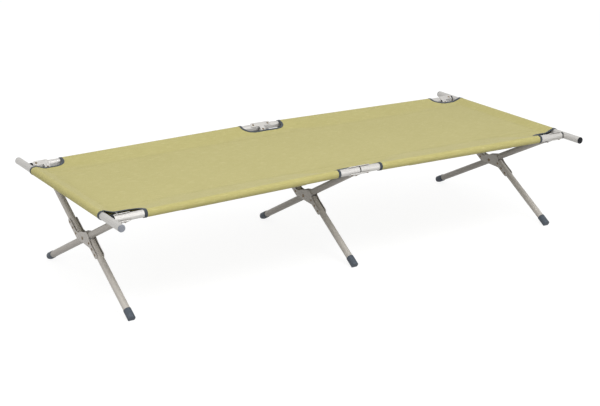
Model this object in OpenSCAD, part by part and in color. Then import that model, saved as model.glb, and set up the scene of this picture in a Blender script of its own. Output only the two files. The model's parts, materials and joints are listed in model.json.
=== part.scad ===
// Folding cot: two jointed side rails, two pull-off end bars, three crossed leg pairs and a taut cover.
// Millimetres. X runs along the cot, Y across it and Z up. The floor is z = 0.
// "near" is the -Y side, "far" the +Y side, "left" the -X end and "right" the +X end.

/* [Overall] */
// Distance between the axes of the two end bars
bar_spacing = 1880; // [1600:10:2260]
// Distance between the axes of the two side rails
rail_spacing = 678; // [560:2:820]
// Height of the rail axes where they meet the end bars
rail_height = 352.5; // [290:0.5:430]
// Rise of the rail axes at their middle joint above their ends
camber_rise = 13; // [0:1:20]
// Length of each end bar's tube
bar_length = 858; // [760:2:1040]

/* [Tubes] */
// Outer diameter of the side rails
rail_d = 25; // [24:0.5:30]
// Outer diameter of the end bars
bar_d = 25; // [22:0.5:30]
// Outer diameter of the legs
leg_d = 24; // [18:0.5:24.5]
// Wall of every tube
tube_wall = 1.5; // [1.2:0.1:2]
// Gap between the two halves of a side rail
rail_gap = 4; // [2:0.5:8]

/* [Legs] */
// Distance from an end bar's axis inwards to the plane of the leg pair beside it
leg_inset = 62; // [60:1:200]
// Height of the axis that every leg pair crosses on
pivot_height = 181; // [150:1:220]
// Distance of each half of a split leg from the crossing axis
split_offset = 26; // [25:0.5:34]
// Least gap between the open ends of a split leg and the straight leg that passes between them
split_end_gap = 1.6; // [1:0.1:8]
// Diameter of the crossing pin
pivot_pin_d = 8; // [6:0.5:10]
// Height of a leg's axis above the floor at its foot point
foot_axis_height = 9; // [6:0.5:16]

/* [Crossing plates] */
// Thickness of a crossing plate
cross_plate_t = 2; // [1.5:0.1:3]
// Width of a crossing plate's arms
cross_arm_w = 20; // [18:0.5:26]
// Distance along a split leg from the crossing axis to the tip of an arm
cross_arm_reach = 115; // [100:1:140]
// Distance from the open end of a split leg's tube to the first rivet of an arm
cross_rivet_margin = 7; // [5:0.5:12]
// Distance between the rivets of an arm
cross_rivet_pitch = 27; // [20:1:32]
// Rivets in each arm
cross_rivets_per_arm = 3; // [2:1:3]

/* [Brackets and hinges] */
// Thickness of the bracket and hinge plates
bracket_t = 2; // [1.5:0.1:3]
// Distance along the rail from the leg plane to the corner bracket's rail rivet
corner_rivet_reach = 34; // [26:0.5:36]
// Distance from the middle of the rail to each of the hinge pins
hinge_pin_reach = 32; // [24:0.5:40]
// Overlap of a bracket plate past the centre of a rivet
plate_edge = 10; // [9:0.5:12]
// Radius of the corners of a bracket plate
plate_corner_r = 5; // [1:0.5:8]
// Depth that a plate's seat is pressed into the rail
seat_depth = 0.6; // [0.4:0.1:0.8]
// Diameter of the rivets
rivet_d = 5; // [4:0.5:6]
// Diameter of a rivet's head
rivet_head_d = 9; // [8:0.5:11]
// Height of a rivet's head
rivet_head_h = 2; // [1.5:0.1:2.5]

/* [Plugs and feet] */
// Length of the pin on a rail plug that enters the end bar
bar_pin_length = 8; // [6:0.5:9]
// Diameter of that pin
bar_pin_d = 8; // [6:0.5:10]
// Depth that a plug goes into its tube
plug_depth = 20; // [12:1:30]
// Thickness of a bar plug's rim
plug_rim = 2; // [1.5:0.1:4]
// Length of a rail plug between the end of its rail and the end bar
saddle_length = 3; // [2:0.5:5]
// Distance that a rail plug's saddle reaches round the end bar
saddle_wrap = 4; // [2:0.5:6]
// Outer diameter of a rubber foot
foot_d = 27; // [26.5:0.5:32]
// Length of a rubber foot
foot_length = 40; // [30:1:50]
// Least rubber between the end of a leg's tube and the floor
foot_base = 2.5; // [2:0.5:3.5]
// Length of a foot past its foot point
foot_overrun = 4; // [3:0.5:6]
// Bevel around both ends of a foot
foot_bevel = 1; // [0.25:0.25:1]

/* [Cover] */
// Thickness of the cover
cover_t = 1.5; // [1:0.1:2]
// Distance from the rail axis to the seam that closes a side sleeve
sleeve_seam = 105; // [80:1:120]
// Distance from the bar axis to the seam that closes an end hem
hem_seam = 40; // [30:1:50]
// Distance from the rail axis to the inner edge of every cut-out
cutout_depth = 50; // [48:1:72]
// Distance from the plane of an end leg pair inwards to the start of the side sleeve
corner_cutout_room = 56; // [50:1:90]
// Half the length of the cut-out at the middle hinge
hinge_cutout_half = 82; // [64:1:100]
// Corner radius of the corner cut-outs
corner_cutout_r = 38; // [10:1:48]
// Corner radius of the middle cut-outs
hinge_cutout_r = 38; // [10:1:48]
// Width of the binding tape
binding_w = 10; // [6:0.5:14]
// Thickness of the binding tape
binding_t = 1; // [0.6:0.1:1.4]

/* [Clearances] */
// Radial gap between a rivet or pin and its hole
pin_gap = 0.05; // [0.02:0.01:0.1]
// Gap between parts that slide or swing past each other
slide_gap = 0.3; // [0.3:0.05:0.6]
// Gap on each face of a leg washer
washer_gap = 0.1; // [0.05:0.05:0.2]
// Least thickness of a leg washer; a thicker leg gets flats on its top end to make room for it
washer_t = 0.3; // [0.3:0.1:0.6]
// Distance that those flats run past the edge of the bracket plates
leg_flat_room = 2; // [1:0.5:6]
// Gap between a rail and the round top end of each leg
leg_top_gap = 1; // [0.5:0.1:4]
// Extra width of the hole that lets a rivet through a rail plug
rivet_room = 1; // [0.6:0.1:2]

/* [Hidden] */
$fn = 64;
rail_y = rail_spacing / 2;
rail_r = rail_d / 2;
bar_r = bar_d / 2;
leg_r = leg_d / 2;
bar_x = bar_spacing / 2;
leg_plane = bar_x - leg_inset;
camber = atan(camber_rise / bar_x);
middle_z = rail_height + camber_rise;
rail_inner_end = rail_gap / 2;
rail_outer_end = bar_x - bar_r - saddle_length;
corner_s = leg_plane / cos(camber);

lap = 0.1;                              // overlap that joins two shapes of one piece
past = 1;                               // distance that a cut runs past a face

// Half the space between a pair of bracket plates, and between a pair of crossing plates
bracket_half = rail_r - seat_depth;
cross_half = leg_r + slide_gap;
hinge_half_length = hinge_pin_reach + plate_edge;
// Drop of the hinge plates that puts them level with the middle of their seats
hinge_drop = (rail_inner_end + hinge_half_length) / 2 * tan(camber);

// Radius of a leg's top end about its rivet, and the place of that rivet down from the rail's axis
leg_end_r = leg_r + 0.5;
leg_rivet_drop = rail_r + leg_top_gap + leg_end_r;
// Half the thickness of a leg's top between its bracket plates
leg_top_half = min(leg_r, bracket_half - washer_t - 2 * washer_gap);
washer_d = rivet_head_d + 4;
pivot_head_d = pivot_pin_d + 5;

cover_in = rail_r + slide_gap;
cover_out = cover_in + cover_t;
hem_in = bar_r + slide_gap;
hem_out = hem_in + cover_t;
cutout_y = rail_y - cutout_depth;
corner_cutout_x = leg_plane - corner_cutout_room;
reach = bar_spacing;                    // larger than any cut that uses it

// Height above the crossing axis of the point that the legs at x aim at on the rail
function leg_rise(x) = middle_z - pivot_height - (x == 0 ? hinge_drop : x * tan(camber));
// Angle above horizontal of the straight leg, and of the split leg, in the leg pair at x
function through_angle(x) = atan2(leg_rise(x), rail_y);
function split_angle(x) = through_angle(x) + asin(split_offset / through_top(x));
// Distance from the crossing axis to the rail axis along a leg
function through_top(x) = norm([rail_y, leg_rise(x)]);
function split_top(x) = sqrt(through_top(x) ^ 2 - split_offset ^ 2);
// Distance from the crossing axis to the foot point along a leg
function through_foot(x) = (pivot_height - foot_axis_height) / sin(through_angle(x));
function split_foot(x) =
    (pivot_height - foot_axis_height + split_offset * cos(split_angle(x))) / sin(split_angle(x));
// Angle of the leg that hangs from the rail on side sy: the straight one on the near side
function top_angle(sy, x) = sy < 0 ? through_angle(x) : split_angle(x);

// Distance along a split leg from the crossing axis to the open end of its tube. The end pairs cross
// at the sharpest angle, so their gap decides it for every pair.
legs_meet = through_angle(leg_plane) + split_angle(leg_plane);
split_start = ((split_offset + leg_r) * cos(legs_meet) + leg_r + split_end_gap) / sin(legs_meet);
// Distance along a split leg from the crossing axis to the first rivet of an arm
cross_rivet_start = split_start + cross_rivet_margin;

// ---------- Frames of reference ----------

// Builds its children in the right far quarter and moves them to the quarter of sx and sy
module quarter(sx, sy)
    mirror([sx < 0 ? 1 : 0, 0, 0])
        mirror([0, sy < 0 ? 1 : 0, 0])
            children();

// Origin on the rail's axis at its middle joint, x outward along the axis
module on_rail()
    translate([0, rail_y, middle_z])
        rotate([0, camber, 0])
            children();

// Origin where the end leg meets the rail, x along the rail, -y down the leg
module at_corner(angle)
    on_rail()
        translate([corner_s, 0, 0])
            rotate([angle, 0, 0])
                children();

// Origin where the middle leg meets the rail, x along the rail, -y down the leg
module at_hinge(angle)
    translate([0, rail_y, middle_z - hinge_drop])
        rotate([angle, 0, 0])
            children();

// Origin on the crossing axis of the leg pair at x, y up the leg
module at_crossing(x, angle)
    translate([x, 0, pivot_height])
        rotate([angle, 0, 0])
            children();

// ---------- Shared shapes ----------

// Cylinder along y between two places
module rod_y(d, from, to)
    translate([0, to, 0])
        rotate([90, 0, 0])
            cylinder(d = d, h = to - from);

// Cylinder along x between two places
module rod_x(d, from, to)
    translate([from, 0, 0])
        rotate([0, 90, 0])
            cylinder(d = d, h = to - from);

// Cylinder along z from z = 0, with both of its edges bevelled
module bevelled_rod(d, h, bevel)
    rotate_extrude()
        polygon([
            [0, 0], [d / 2 - bevel, 0], [d / 2, bevel], [d / 2, h - bevel], [d / 2 - bevel, h], [0, h]
        ]);

module tube_y(d, from, to)
    difference() {
        rod_y(d, from, to);
        rod_y(d - 2 * tube_wall, from - past, to + past);
    }

// Hole for a rivet along z
module rivet_hole(d = rivet_d)
    cylinder(d = d, h = 4 * rail_d, center = true);

// Rivet along z with a domed head at each end of a stack that is 2 * half high
module rivet(half, d = rivet_d, head_d = rivet_head_d)
    union() {
        cylinder(d = d - 2 * pin_gap, h = 2 * (half + lap), center = true);
        for (side = [-1, 1])
            mirror([0, 0, side < 0 ? 1 : 0])
                translate([0, 0, half])
                    rivet_head(head_d);
    }

// Domed head, the cap of a ball cut off by the plate's face
module rivet_head(head_d)
    intersection() {
        ball_r = (head_d ^ 2 / 4 + rivet_head_h ^ 2) / (2 * rivet_head_h);
        translate([0, 0, rivet_head_h - ball_r])
            sphere(r = ball_r);
        cylinder(d = head_d, h = rivet_head_h + past);
    }

// Washer that fills the space between a leg and one of its bracket plates
module leg_washer()
    difference() {
        cylinder(d = washer_d, h = bracket_half - leg_top_half - 2 * washer_gap);
        translate([0, 0, -past])
            cylinder(d = rivet_d, h = bracket_half);
    }

// ---------- Side rails ----------

module rail(sx, sy)
    color("silver")
        quarter(sx, sy)
            difference() {
                on_rail()
                    difference() {
                        rod_x(rail_d, rail_inner_end, rail_outer_end);
                        rod_x(rail_d - 2 * tube_wall, rail_inner_end - past, rail_outer_end + past);
                    }
                at_corner(top_angle(sy, leg_plane)) {
                    corner_plate_space();
                    translate([corner_rivet_reach, 0, 0])
                        rivet_hole();
                }
                at_hinge(top_angle(sy, 0)) {
                    hinge_plate_space();
                    translate([hinge_pin_reach, 0, 0])
                        rivet_hole();
                }
            }

// Space taken by a pair of plates, above and below the rail
module plate_space(from, to)
    for (side = [-1, 1])
        translate([(from + to) / 2, 0, side * (bracket_half + rail_r)])
            cube([to - from, 2 * rail_d, 2 * rail_r], center = true);

module corner_plate_space()
    plate_space(-plate_edge, corner_rivet_reach + plate_edge);

module hinge_plate_space()
    plate_space(-hinge_half_length, hinge_half_length);

// ---------- Corner brackets and hinge plates ----------

// Round-cornered plate outline from one corner to the opposite one
module round_plate_2d(x1, y1, x2, y2, r)
    union() {
        translate([x1 + r, y1])
            square([x2 - x1 - 2 * r, y2 - y1]);
        translate([x1, y1 + r])
            square([x2 - x1, y2 - y1 - 2 * r]);
        for (x = [x1 + r, x2 - r], y = [y1 + r, y2 - r])
            translate([x, y])
                circle(r = r);
    }

// Plate with an arm along the rail, a round-ended tab down the leg, and rivet holes at places along x
module bracket_plate_2d(x1, x2, places)
    difference() {
        union() {
            round_plate_2d(x1, -plate_edge, x2, plate_edge, plate_corner_r);
            translate([-plate_edge, -leg_rivet_drop])
                square([2 * plate_edge, leg_rivet_drop]);
            translate([0, -leg_rivet_drop])
                circle(r = plate_edge);
        }
        for (x = places)
            translate([x, 0])
                circle(d = rivet_d);
        translate([0, -leg_rivet_drop])
            circle(d = rivet_d);
    }

// Places a plate above or below the rail's axis
module plate_level(side)
    translate([0, 0, side > 0 ? bracket_half : -bracket_half - bracket_t])
        linear_extrude(bracket_t)
            children();

module corner_bracket(sx, sy, side)
    color("darkgray")
        quarter(sx, sy)
            at_corner(top_angle(sy, leg_plane))
                plate_level(side)
                    bracket_plate_2d(-plate_edge, corner_rivet_reach + plate_edge, [corner_rivet_reach]);

module hinge_plate(sy, side)
    color("darkgray")
        quarter(1, sy)
            at_hinge(top_angle(sy, 0))
                plate_level(side)
                    bracket_plate_2d(
                        -hinge_half_length, hinge_half_length, [-hinge_pin_reach, hinge_pin_reach]);

// Rivet through a leg's top, with its two washers
module leg_top_rivet()
    translate([0, -leg_rivet_drop, 0]) {
        rivet(bracket_half + bracket_t);
        for (side = [-1, 1])
            mirror([0, 0, side < 0 ? 1 : 0])
                translate([0, 0, leg_top_half + washer_gap])
                    leg_washer();
    }

module rail_rivets(sy)
    color("peru") {
        for (sx = [-1, 1])
            quarter(sx, sy)
                at_corner(top_angle(sy, leg_plane)) {
                    translate([corner_rivet_reach, 0, 0])
                        rivet(bracket_half + bracket_t);
                    leg_top_rivet();
                }
        quarter(1, sy)
            at_hinge(top_angle(sy, 0)) {
                for (x = [-hinge_pin_reach, hinge_pin_reach])
                    translate([x, 0, 0])
                        rivet(bracket_half + bracket_t);
                leg_top_rivet();
            }
    }

// ---------- Legs ----------

// Gives a leg's tube, its children, a round top end and a rivet hole, for the leg at x on side sy
module with_leg_top(x, sy)
    intersection() {
        children();
        quarter(x < 0 ? -1 : 1, sy)
            if (x == 0)
                at_hinge(top_angle(sy, 0))
                    leg_top_form();
            else
                at_corner(top_angle(sy, leg_plane))
                    leg_top_form();
    }

// Everything that a leg's top may fill: a disc about its rivet, a slab as thick as the space between
// its washers, and a thicker slab down from there
module leg_top_form() {
    flat_half = leg_top_half < leg_r ? leg_top_half : leg_d;
    flat_length = plate_edge + leg_flat_room;
    translate([0, -leg_rivet_drop, 0])
        difference() {
            union() {
                cylinder(r = leg_end_r, h = 2 * flat_half, center = true);
                translate([-2 * leg_d, -flat_length - lap, -flat_half])
                    cube([4 * leg_d, flat_length + lap, 2 * flat_half]);
                translate([-2 * leg_d, -reach, -leg_d])
                    cube([4 * leg_d, reach - flat_length, 2 * leg_d]);
            }
            rivet_hole();
        }
}

// Leg tube from the near rail, through the crossing, to the far foot
module straight_leg(x)
    color("gray")
        with_leg_top(x, -1)
            difference() {
                mirror([0, 1, 0])
                    at_crossing(x, through_angle(abs(x)))
                        tube_y(leg_d, -straight_leg_end(abs(x)), leg_tube_top(through_top(abs(x))));
                translate([x, 0, pivot_height])
                    rod_x(pivot_pin_d + 2 * pin_gap, -leg_d, leg_d);
            }

// Top of a leg's tube before it is rounded, for a leg that is aimed at a rail axis at a distance
function leg_tube_top(distance) = distance - rail_r - leg_top_gap / 2;

// Distance past its foot point of the end of a leg's tube, for a leg at an angle above horizontal
function tube_past_foot(angle) =
    min(foot_overrun - foot_base, (foot_axis_height - foot_base - leg_r * cos(angle)) / sin(angle));
function straight_leg_end(x) = through_foot(x) + tube_past_foot(through_angle(x));
function split_leg_end(x) = split_foot(x) + tube_past_foot(split_angle(x));

// Places along a split leg of the rivets in one arm of a crossing plate
cross_rivet_places = [for (i = [0 : cross_rivets_per_arm - 1]) cross_rivet_start + i * cross_rivet_pitch];

// Upper half of the split leg, on the far rail
module split_leg_top(x)
    color("gray")
        with_leg_top(x, 1)
            difference() {
                at_crossing(x, split_angle(abs(x)))
                    translate([0, 0, -split_offset])
                        tube_y(leg_d, split_start, leg_tube_top(split_top(abs(x))));
                arm_rivet_holes(x, 1);
            }

// Lower half of the split leg, on the near foot
module split_leg_bottom(x)
    color("gray")
        difference() {
            at_crossing(x, split_angle(abs(x)))
                translate([0, 0, split_offset])
                    tube_y(leg_d, -split_leg_end(abs(x)), -split_start);
            arm_rivet_holes(x, -1);
        }

// Rivet holes across one half of the split leg at x
module arm_rivet_holes(x, half)
    at_crossing(x, split_angle(abs(x)))
        for (s = cross_rivet_places)
            translate([0, half * s, -half * split_offset])
                rod_x(rivet_d, -leg_d, leg_d);

// ---------- Crossing plates ----------

// One arm with a round tip, on the side of the split leg's half
module cross_arm_2d(half)
    translate([0, -half * split_offset])
        union() {
            translate([half > 0 ? cross_rivet_start - cross_arm_w / 2 : -cross_arm_reach + cross_arm_w / 2,
                       -cross_arm_w / 2])
                square([cross_arm_reach - cross_rivet_start, cross_arm_w]);
            translate([half * (cross_arm_reach - cross_arm_w / 2), 0])
                circle(d = cross_arm_w);
        }

// Outline in the plane of the legs: x up the split leg, y away from its upper half
module cross_plate_2d() {
    inner = split_offset - cross_arm_w / 2;
    outer = split_offset + cross_arm_w / 2;
    difference() {
        union() {
            cross_arm_2d(1);
            cross_arm_2d(-1);
            // Web across the crossing, from the root of one arm to the root of the other
            polygon([
                [cross_rivet_start + web_lap, -outer], [cross_rivet_start + web_lap, -inner],
                [web_waist, -inner / 2], [web_crest, outer / 3],
                shoulder_tangent(outer), [-cross_rivet_start - web_root, outer],
                [-cross_rivet_start - web_root, inner], [-web_notch, -inner * 0.7], [web_toe, -outer]
            ]);
            // Shoulder beside the open end of the lower tube
            translate(shoulder_centre(outer))
                circle(r = shoulder_r);
        }
        circle(d = pivot_pin_d + 2 * pin_gap);
        for (half = [-1, 1], s = cross_rivet_places)
            translate([half * s, -half * split_offset])
                circle(d = rivet_d);
    }
}

// Corners of the web, as distances along the split leg
web_lap = 4;                            // past the first rivet of the upper arm
web_root = 12;                          // past the first rivet of the lower arm
web_waist = cross_rivet_start - 13;     // inner corner beside the upper arm
web_crest = cross_rivet_start - 27;     // start of the slope up to the shoulder
web_notch = 10;                         // inner corner beside the lower arm
web_toe = 34;                           // outer corner beside the upper arm

// Round shoulder of a crossing plate, which stands out past the edge of its lower arm
shoulder_r = 16;
shoulder_back = 24;
shoulder_rise = 12;
shoulder_angle = 50;
function shoulder_centre(outer) = [-shoulder_back, outer + shoulder_rise - shoulder_r];
function shoulder_tangent(outer) =
    shoulder_centre(outer) + shoulder_r * [cos(shoulder_angle), sin(shoulder_angle)];

// Plate on the outer or inner face of the leg pair at x; side is its direction along X
module cross_plate(x, side)
    color("darkgray")
        at_crossing(x, split_angle(abs(x)))
            translate([side > 0 ? cross_half : -cross_half - cross_plate_t, 0, 0])
                rotate([90, 0, 90])
                    linear_extrude(cross_plate_t)
                        cross_plate_2d();

module cross_plate_rivets()
    color("peru")
        for (x = [-leg_plane, 0, leg_plane])
            at_crossing(x, split_angle(abs(x)))
                for (half = [-1, 1], s = cross_rivet_places)
                    translate([0, half * s, -half * split_offset])
                        rotate([0, 90, 0])
                            rivet(cross_half + cross_plate_t);

module crossing_pins()
    color("peru")
        for (x = [-leg_plane, 0, leg_plane])
            translate([x, 0, pivot_height])
                rotate([0, 90, 0])
                    rivet(cross_half + cross_plate_t, pivot_pin_d, pivot_head_d);

// ---------- Feet ----------

// Rubber cap along y over a leg that comes from +y, with its foot point at y = 0
module foot_cap(angle)
    difference() {
        translate([0, -foot_overrun, 0])
            rotate([-90, 0, 0])
                bevelled_rod(foot_d, foot_length, foot_bevel);
        rod_y(leg_d + 2 * pin_gap, -tube_past_foot(angle), foot_length);
    }

// Cuts the cap off flat at the floor
module on_floor()
    difference() {
        children();
        translate([0, 0, -reach])
            cube(2 * reach, center = true);
    }

module far_foot(x)
    color("darkslategray")
        on_floor()
            mirror([0, 1, 0])
                at_crossing(x, through_angle(abs(x)))
                    translate([0, -through_foot(abs(x)), 0])
                        foot_cap(through_angle(abs(x)));

module near_foot(x)
    color("darkslategray")
        on_floor()
            at_crossing(x, split_angle(abs(x)))
                translate([0, -split_foot(abs(x)), split_offset])
                    foot_cap(split_angle(abs(x)));

// ---------- End bars and plugs ----------

// End bar with a hole in its inner side for each rail's pin
module end_bar(sx)
    color("silver")
        quarter(sx, 1)
            translate([bar_x, 0, rail_height])
                difference() {
                    tube_y(bar_d, -bar_length / 2, bar_length / 2);
                    for (y = [-rail_y, rail_y])
                        translate([0, y, 0])
                            rod_x(bar_pin_d + 2 * slide_gap, -bar_d, 0);
                }

// Plug in the end of an end bar
module bar_plug(sx, sy)
    color(sx < 0 && sy < 0 ? "slategray" : "dimgray")
        quarter(sx, sy)
            translate([bar_x, bar_length / 2, rail_height])
                union() {
                    rod_y(bar_d, 0, plug_rim);
                    rod_y(bar_d - 2 * tube_wall, -plug_depth, lap);
                }

// Plug in the end of a rail: a saddle against the end bar and a pin into it
module rail_plug(sx, sy)
    color("dimgray")
        quarter(sx, sy)
            union() {
                difference() {
                    on_rail() {
                        rod_x(rail_d, rail_outer_end, bar_x - bar_r + saddle_wrap);
                        rod_x(rail_d - 2 * tube_wall, rail_outer_end - plug_depth, rail_outer_end + lap);
                    }
                    translate([bar_x, rail_y, rail_height])
                        rod_y(bar_d + 2 * slide_gap, -rail_d, rail_d);
                    // Room for the bracket rivet that crosses the tube
                    at_corner(top_angle(sy, leg_plane))
                        translate([corner_rivet_reach, 0, 0])
                            rivet_hole(rivet_d + rivet_room);
                }
                translate([bar_x - bar_r, rail_y, rail_height])
                    rod_x(bar_pin_d, -saddle_length, bar_pin_length);
            }

// ---------- Cover ----------

// Section of a sleeve: a round loop of radius r drawn out to a seam at distance d in -x
module loop_2d(r, d)
    union() {
        circle(r = r);
        polygon([
            [-d, 0], [-r * r / d, r * sqrt(1 - (r / d) ^ 2)], [0, 0], [-r * r / d, -r * sqrt(1 - (r / d) ^ 2)]
        ]);
    }

// Skin between two loops that meet at their seams
module sleeve_2d(inner, outer, seam)
    difference() {
        loop_2d(outer, seam);
        loop_2d(inner, seam * inner / outer);
    }

// Corner cut-out of the right far quarter, grown by a margin
module corner_cutout_2d(margin = 0) {
    x1 = corner_cutout_x - margin;
    y1 = cutout_y - margin;
    r = corner_cutout_r + margin;
    union() {
        translate([x1 + r, y1])
            square([reach, reach]);
        translate([x1, y1 + r])
            square([reach, reach]);
        translate([x1 + r, y1 + r])
            circle(r = r);
    }
}

// Middle cut-out of the right far quarter, grown by a margin
module hinge_cutout_2d(margin = 0) {
    x2 = hinge_cutout_half + margin;
    y1 = cutout_y - margin;
    r = hinge_cutout_r + margin;
    union() {
        translate([0, y1])
            square([x2 - r, reach]);
        translate([0, y1 + r])
            square([x2, reach]);
        translate([x2 - r, y1 + r])
            circle(r = r);
    }
}

// Upright prism of a 2D cut-out, tall enough for the whole cover
module cutout_prism()
    translate([0, 0, rail_height - 4 * rail_d])
        linear_extrude(8 * rail_d)
            children();

// Its children, a section in the YZ plane of the rail, drawn out from the middle past the end bar
module along_rail()
    on_rail()
        translate([-rail_d, 0, 0])
            rotate([90, 0, 90])
                linear_extrude(bar_x + 2 * rail_d)
                    children();

// Its children, a section in the XZ plane of the end bar, drawn out from the rail to the middle
module along_bar()
    translate([bar_x, rail_y, rail_height])
        rotate([90, 0, 0])
            linear_extrude(rail_y)
                children();

// Everything from the middle of the cot to x in one quarter
module quarter_space(x)
    translate([0, 0, -reach])
        cube([x, reach, 2 * reach]);

// Skin of one side sleeve in the far quarter, from the middle to the end hem
module side_sleeve(inner, outer)
    intersection() {
        along_rail()
            sleeve_2d(inner, outer, sleeve_seam * outer / cover_out);
        quarter_space(bar_x - hem_seam / 2);
    }

// Skin of half an end hem
module end_hem(inner, outer)
    along_bar()
        sleeve_2d(inner, outer, hem_seam * outer / hem_out);

// Distance that the deck runs past a seam, so that it meets all of the solid seam
function deck_lap(seam, inner, outer) = seam * (1 - inner / outer) + past;

// Flat part of the cover in one quarter
module deck_panel()
    intersection() {
        along_rail()
            translate([-rail_y, -cover_t / 2])
                square([rail_y - sleeve_seam + deck_lap(sleeve_seam, cover_in, cover_out), cover_t]);
        quarter_space(bar_x - hem_seam + deck_lap(hem_seam, hem_in, hem_out));
    }

module cover()
    color("darkkhaki")
        for (sx = [-1, 1], sy = [-1, 1])
            quarter(sx, sy)
                difference() {
                    union() {
                        deck_panel();
                        side_sleeve(cover_in, cover_out);
                        end_hem(hem_in, hem_out);
                    }
                    cutout_prism()
                        corner_cutout_2d();
                    cutout_prism()
                        hinge_cutout_2d();
                }

// Tape over both faces of the sleeves along a cut-out's edge
module corner_bindings()
    color("darkslategray")
        for (sx = [-1, 1], sy = [-1, 1])
            quarter(sx, sy)
                intersection() {
                    difference() {
                        union() {
                            side_sleeve(cover_out, cover_out + binding_t);
                            end_hem(hem_out, hem_out + binding_t);
                        }
                        // Room for the cover itself, where the sleeve and the hem cross
                        along_rail()
                            loop_2d(cover_out, sleeve_seam);
                        along_bar()
                            loop_2d(hem_out, hem_seam);
                    }
                    cutout_prism()
                        difference() {
                            corner_cutout_2d(binding_w);
                            corner_cutout_2d();
                        }
                }

module middle_bindings()
    color("darkslategray")
        for (sx = [-1, 1], sy = [-1, 1])
            quarter(sx, sy)
                intersection() {
                    side_sleeve(cover_out, cover_out + binding_t);
                    cutout_prism()
                        difference() {
                            hinge_cutout_2d(binding_w);
                            hinge_cutout_2d();
                        }
                }

// ---------- Nodes ----------

rail(-1, -1);  // near_left_rail
rail(1, -1);  // near_right_rail
rail(-1, 1);  // far_left_rail
rail(1, 1);  // far_right_rail
straight_leg(-leg_plane);  // left_straight_leg
straight_leg(0);  // middle_straight_leg
straight_leg(leg_plane);  // right_straight_leg
split_leg_top(-leg_plane);  // left_split_leg_top
split_leg_top(0);  // middle_split_leg_top
split_leg_top(leg_plane);  // right_split_leg_top
split_leg_bottom(-leg_plane);  // left_split_leg_bottom
split_leg_bottom(0);  // middle_split_leg_bottom
split_leg_bottom(leg_plane);  // right_split_leg_bottom
cross_plate(-leg_plane, -1);  // left_outer_cross_plate
cross_plate(-leg_plane, 1);  // left_inner_cross_plate
cross_plate(0, -1);  // middle_left_cross_plate
cross_plate(0, 1);  // middle_right_cross_plate
cross_plate(leg_plane, -1);  // right_inner_cross_plate
cross_plate(leg_plane, 1);  // right_outer_cross_plate
cross_plate_rivets();
crossing_pins();
corner_bracket(-1, -1, 1);  // near_left_upper_bracket
corner_bracket(-1, -1, -1);  // near_left_lower_bracket
corner_bracket(1, -1, 1);  // near_right_upper_bracket
corner_bracket(1, -1, -1);  // near_right_lower_bracket
corner_bracket(-1, 1, 1);  // far_left_upper_bracket
corner_bracket(-1, 1, -1);  // far_left_lower_bracket
corner_bracket(1, 1, 1);  // far_right_upper_bracket
corner_bracket(1, 1, -1);  // far_right_lower_bracket
hinge_plate(-1, 1);  // near_upper_hinge_plate
hinge_plate(-1, -1);  // near_lower_hinge_plate
hinge_plate(1, 1);  // far_upper_hinge_plate
hinge_plate(1, -1);  // far_lower_hinge_plate
rail_rivets(-1);  // near_rail_rivets
rail_rivets(1);  // far_rail_rivets
rail_plug(-1, -1);  // near_left_rail_plug
rail_plug(1, -1);  // near_right_rail_plug
rail_plug(-1, 1);  // far_left_rail_plug
rail_plug(1, 1);  // far_right_rail_plug
far_foot(-leg_plane);  // far_left_foot
far_foot(0);  // far_middle_foot
far_foot(leg_plane);  // far_right_foot
near_foot(-leg_plane);  // near_left_foot
near_foot(0);  // near_middle_foot
near_foot(leg_plane);  // near_right_foot
end_bar(-1);  // left_end_bar
end_bar(1);  // right_end_bar
bar_plug(-1, -1);  // left_bar_near_plug
bar_plug(-1, 1);  // left_bar_far_plug
bar_plug(1, -1);  // right_bar_near_plug
bar_plug(1, 1);  // right_bar_far_plug
cover();
corner_bindings();
middle_bindings();
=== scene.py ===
"""Folding cot: a canvas bed on two jointed rails, two end bars and three pairs of crossed legs."""
import json
import math

import bmesh
import bpy
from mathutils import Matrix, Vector, noise
from mathutils.geometry import delaunay_2d_cdt

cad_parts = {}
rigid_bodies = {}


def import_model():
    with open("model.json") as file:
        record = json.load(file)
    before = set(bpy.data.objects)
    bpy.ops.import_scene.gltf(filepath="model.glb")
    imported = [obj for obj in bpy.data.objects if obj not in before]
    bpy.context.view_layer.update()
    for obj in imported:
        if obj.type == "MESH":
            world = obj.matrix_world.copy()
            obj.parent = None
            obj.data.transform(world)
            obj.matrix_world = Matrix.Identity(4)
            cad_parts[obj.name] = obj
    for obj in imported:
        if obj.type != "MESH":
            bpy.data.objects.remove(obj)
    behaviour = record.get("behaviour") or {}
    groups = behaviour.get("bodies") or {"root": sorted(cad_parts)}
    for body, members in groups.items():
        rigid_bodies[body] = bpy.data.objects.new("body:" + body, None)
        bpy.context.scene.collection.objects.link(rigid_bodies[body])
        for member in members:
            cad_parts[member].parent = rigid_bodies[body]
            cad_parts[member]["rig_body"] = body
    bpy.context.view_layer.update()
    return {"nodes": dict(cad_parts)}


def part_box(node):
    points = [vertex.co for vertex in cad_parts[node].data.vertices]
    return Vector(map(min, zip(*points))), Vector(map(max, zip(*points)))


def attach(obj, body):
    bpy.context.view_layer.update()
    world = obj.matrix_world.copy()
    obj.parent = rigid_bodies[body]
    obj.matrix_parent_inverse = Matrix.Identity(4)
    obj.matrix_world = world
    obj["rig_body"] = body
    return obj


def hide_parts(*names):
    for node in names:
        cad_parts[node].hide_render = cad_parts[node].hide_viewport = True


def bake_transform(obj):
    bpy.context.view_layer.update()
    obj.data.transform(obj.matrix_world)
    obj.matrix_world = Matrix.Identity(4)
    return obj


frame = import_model()
nodes = frame["nodes"]

# ---------------------------------------------------------------- sizes, in metres

low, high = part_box("far_left_rail")
TUBE_R = (high.y - low.y) / 2
RAIL_Y = (high.y + low.y) / 2
low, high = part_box("right_end_bar")
BAR_X = (high.x + low.x) / 2
BAR_Z = (high.z + low.z) / 2
low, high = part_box("crossing_pins")
PIVOT_Z = (high.z + low.z) / 2

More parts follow.
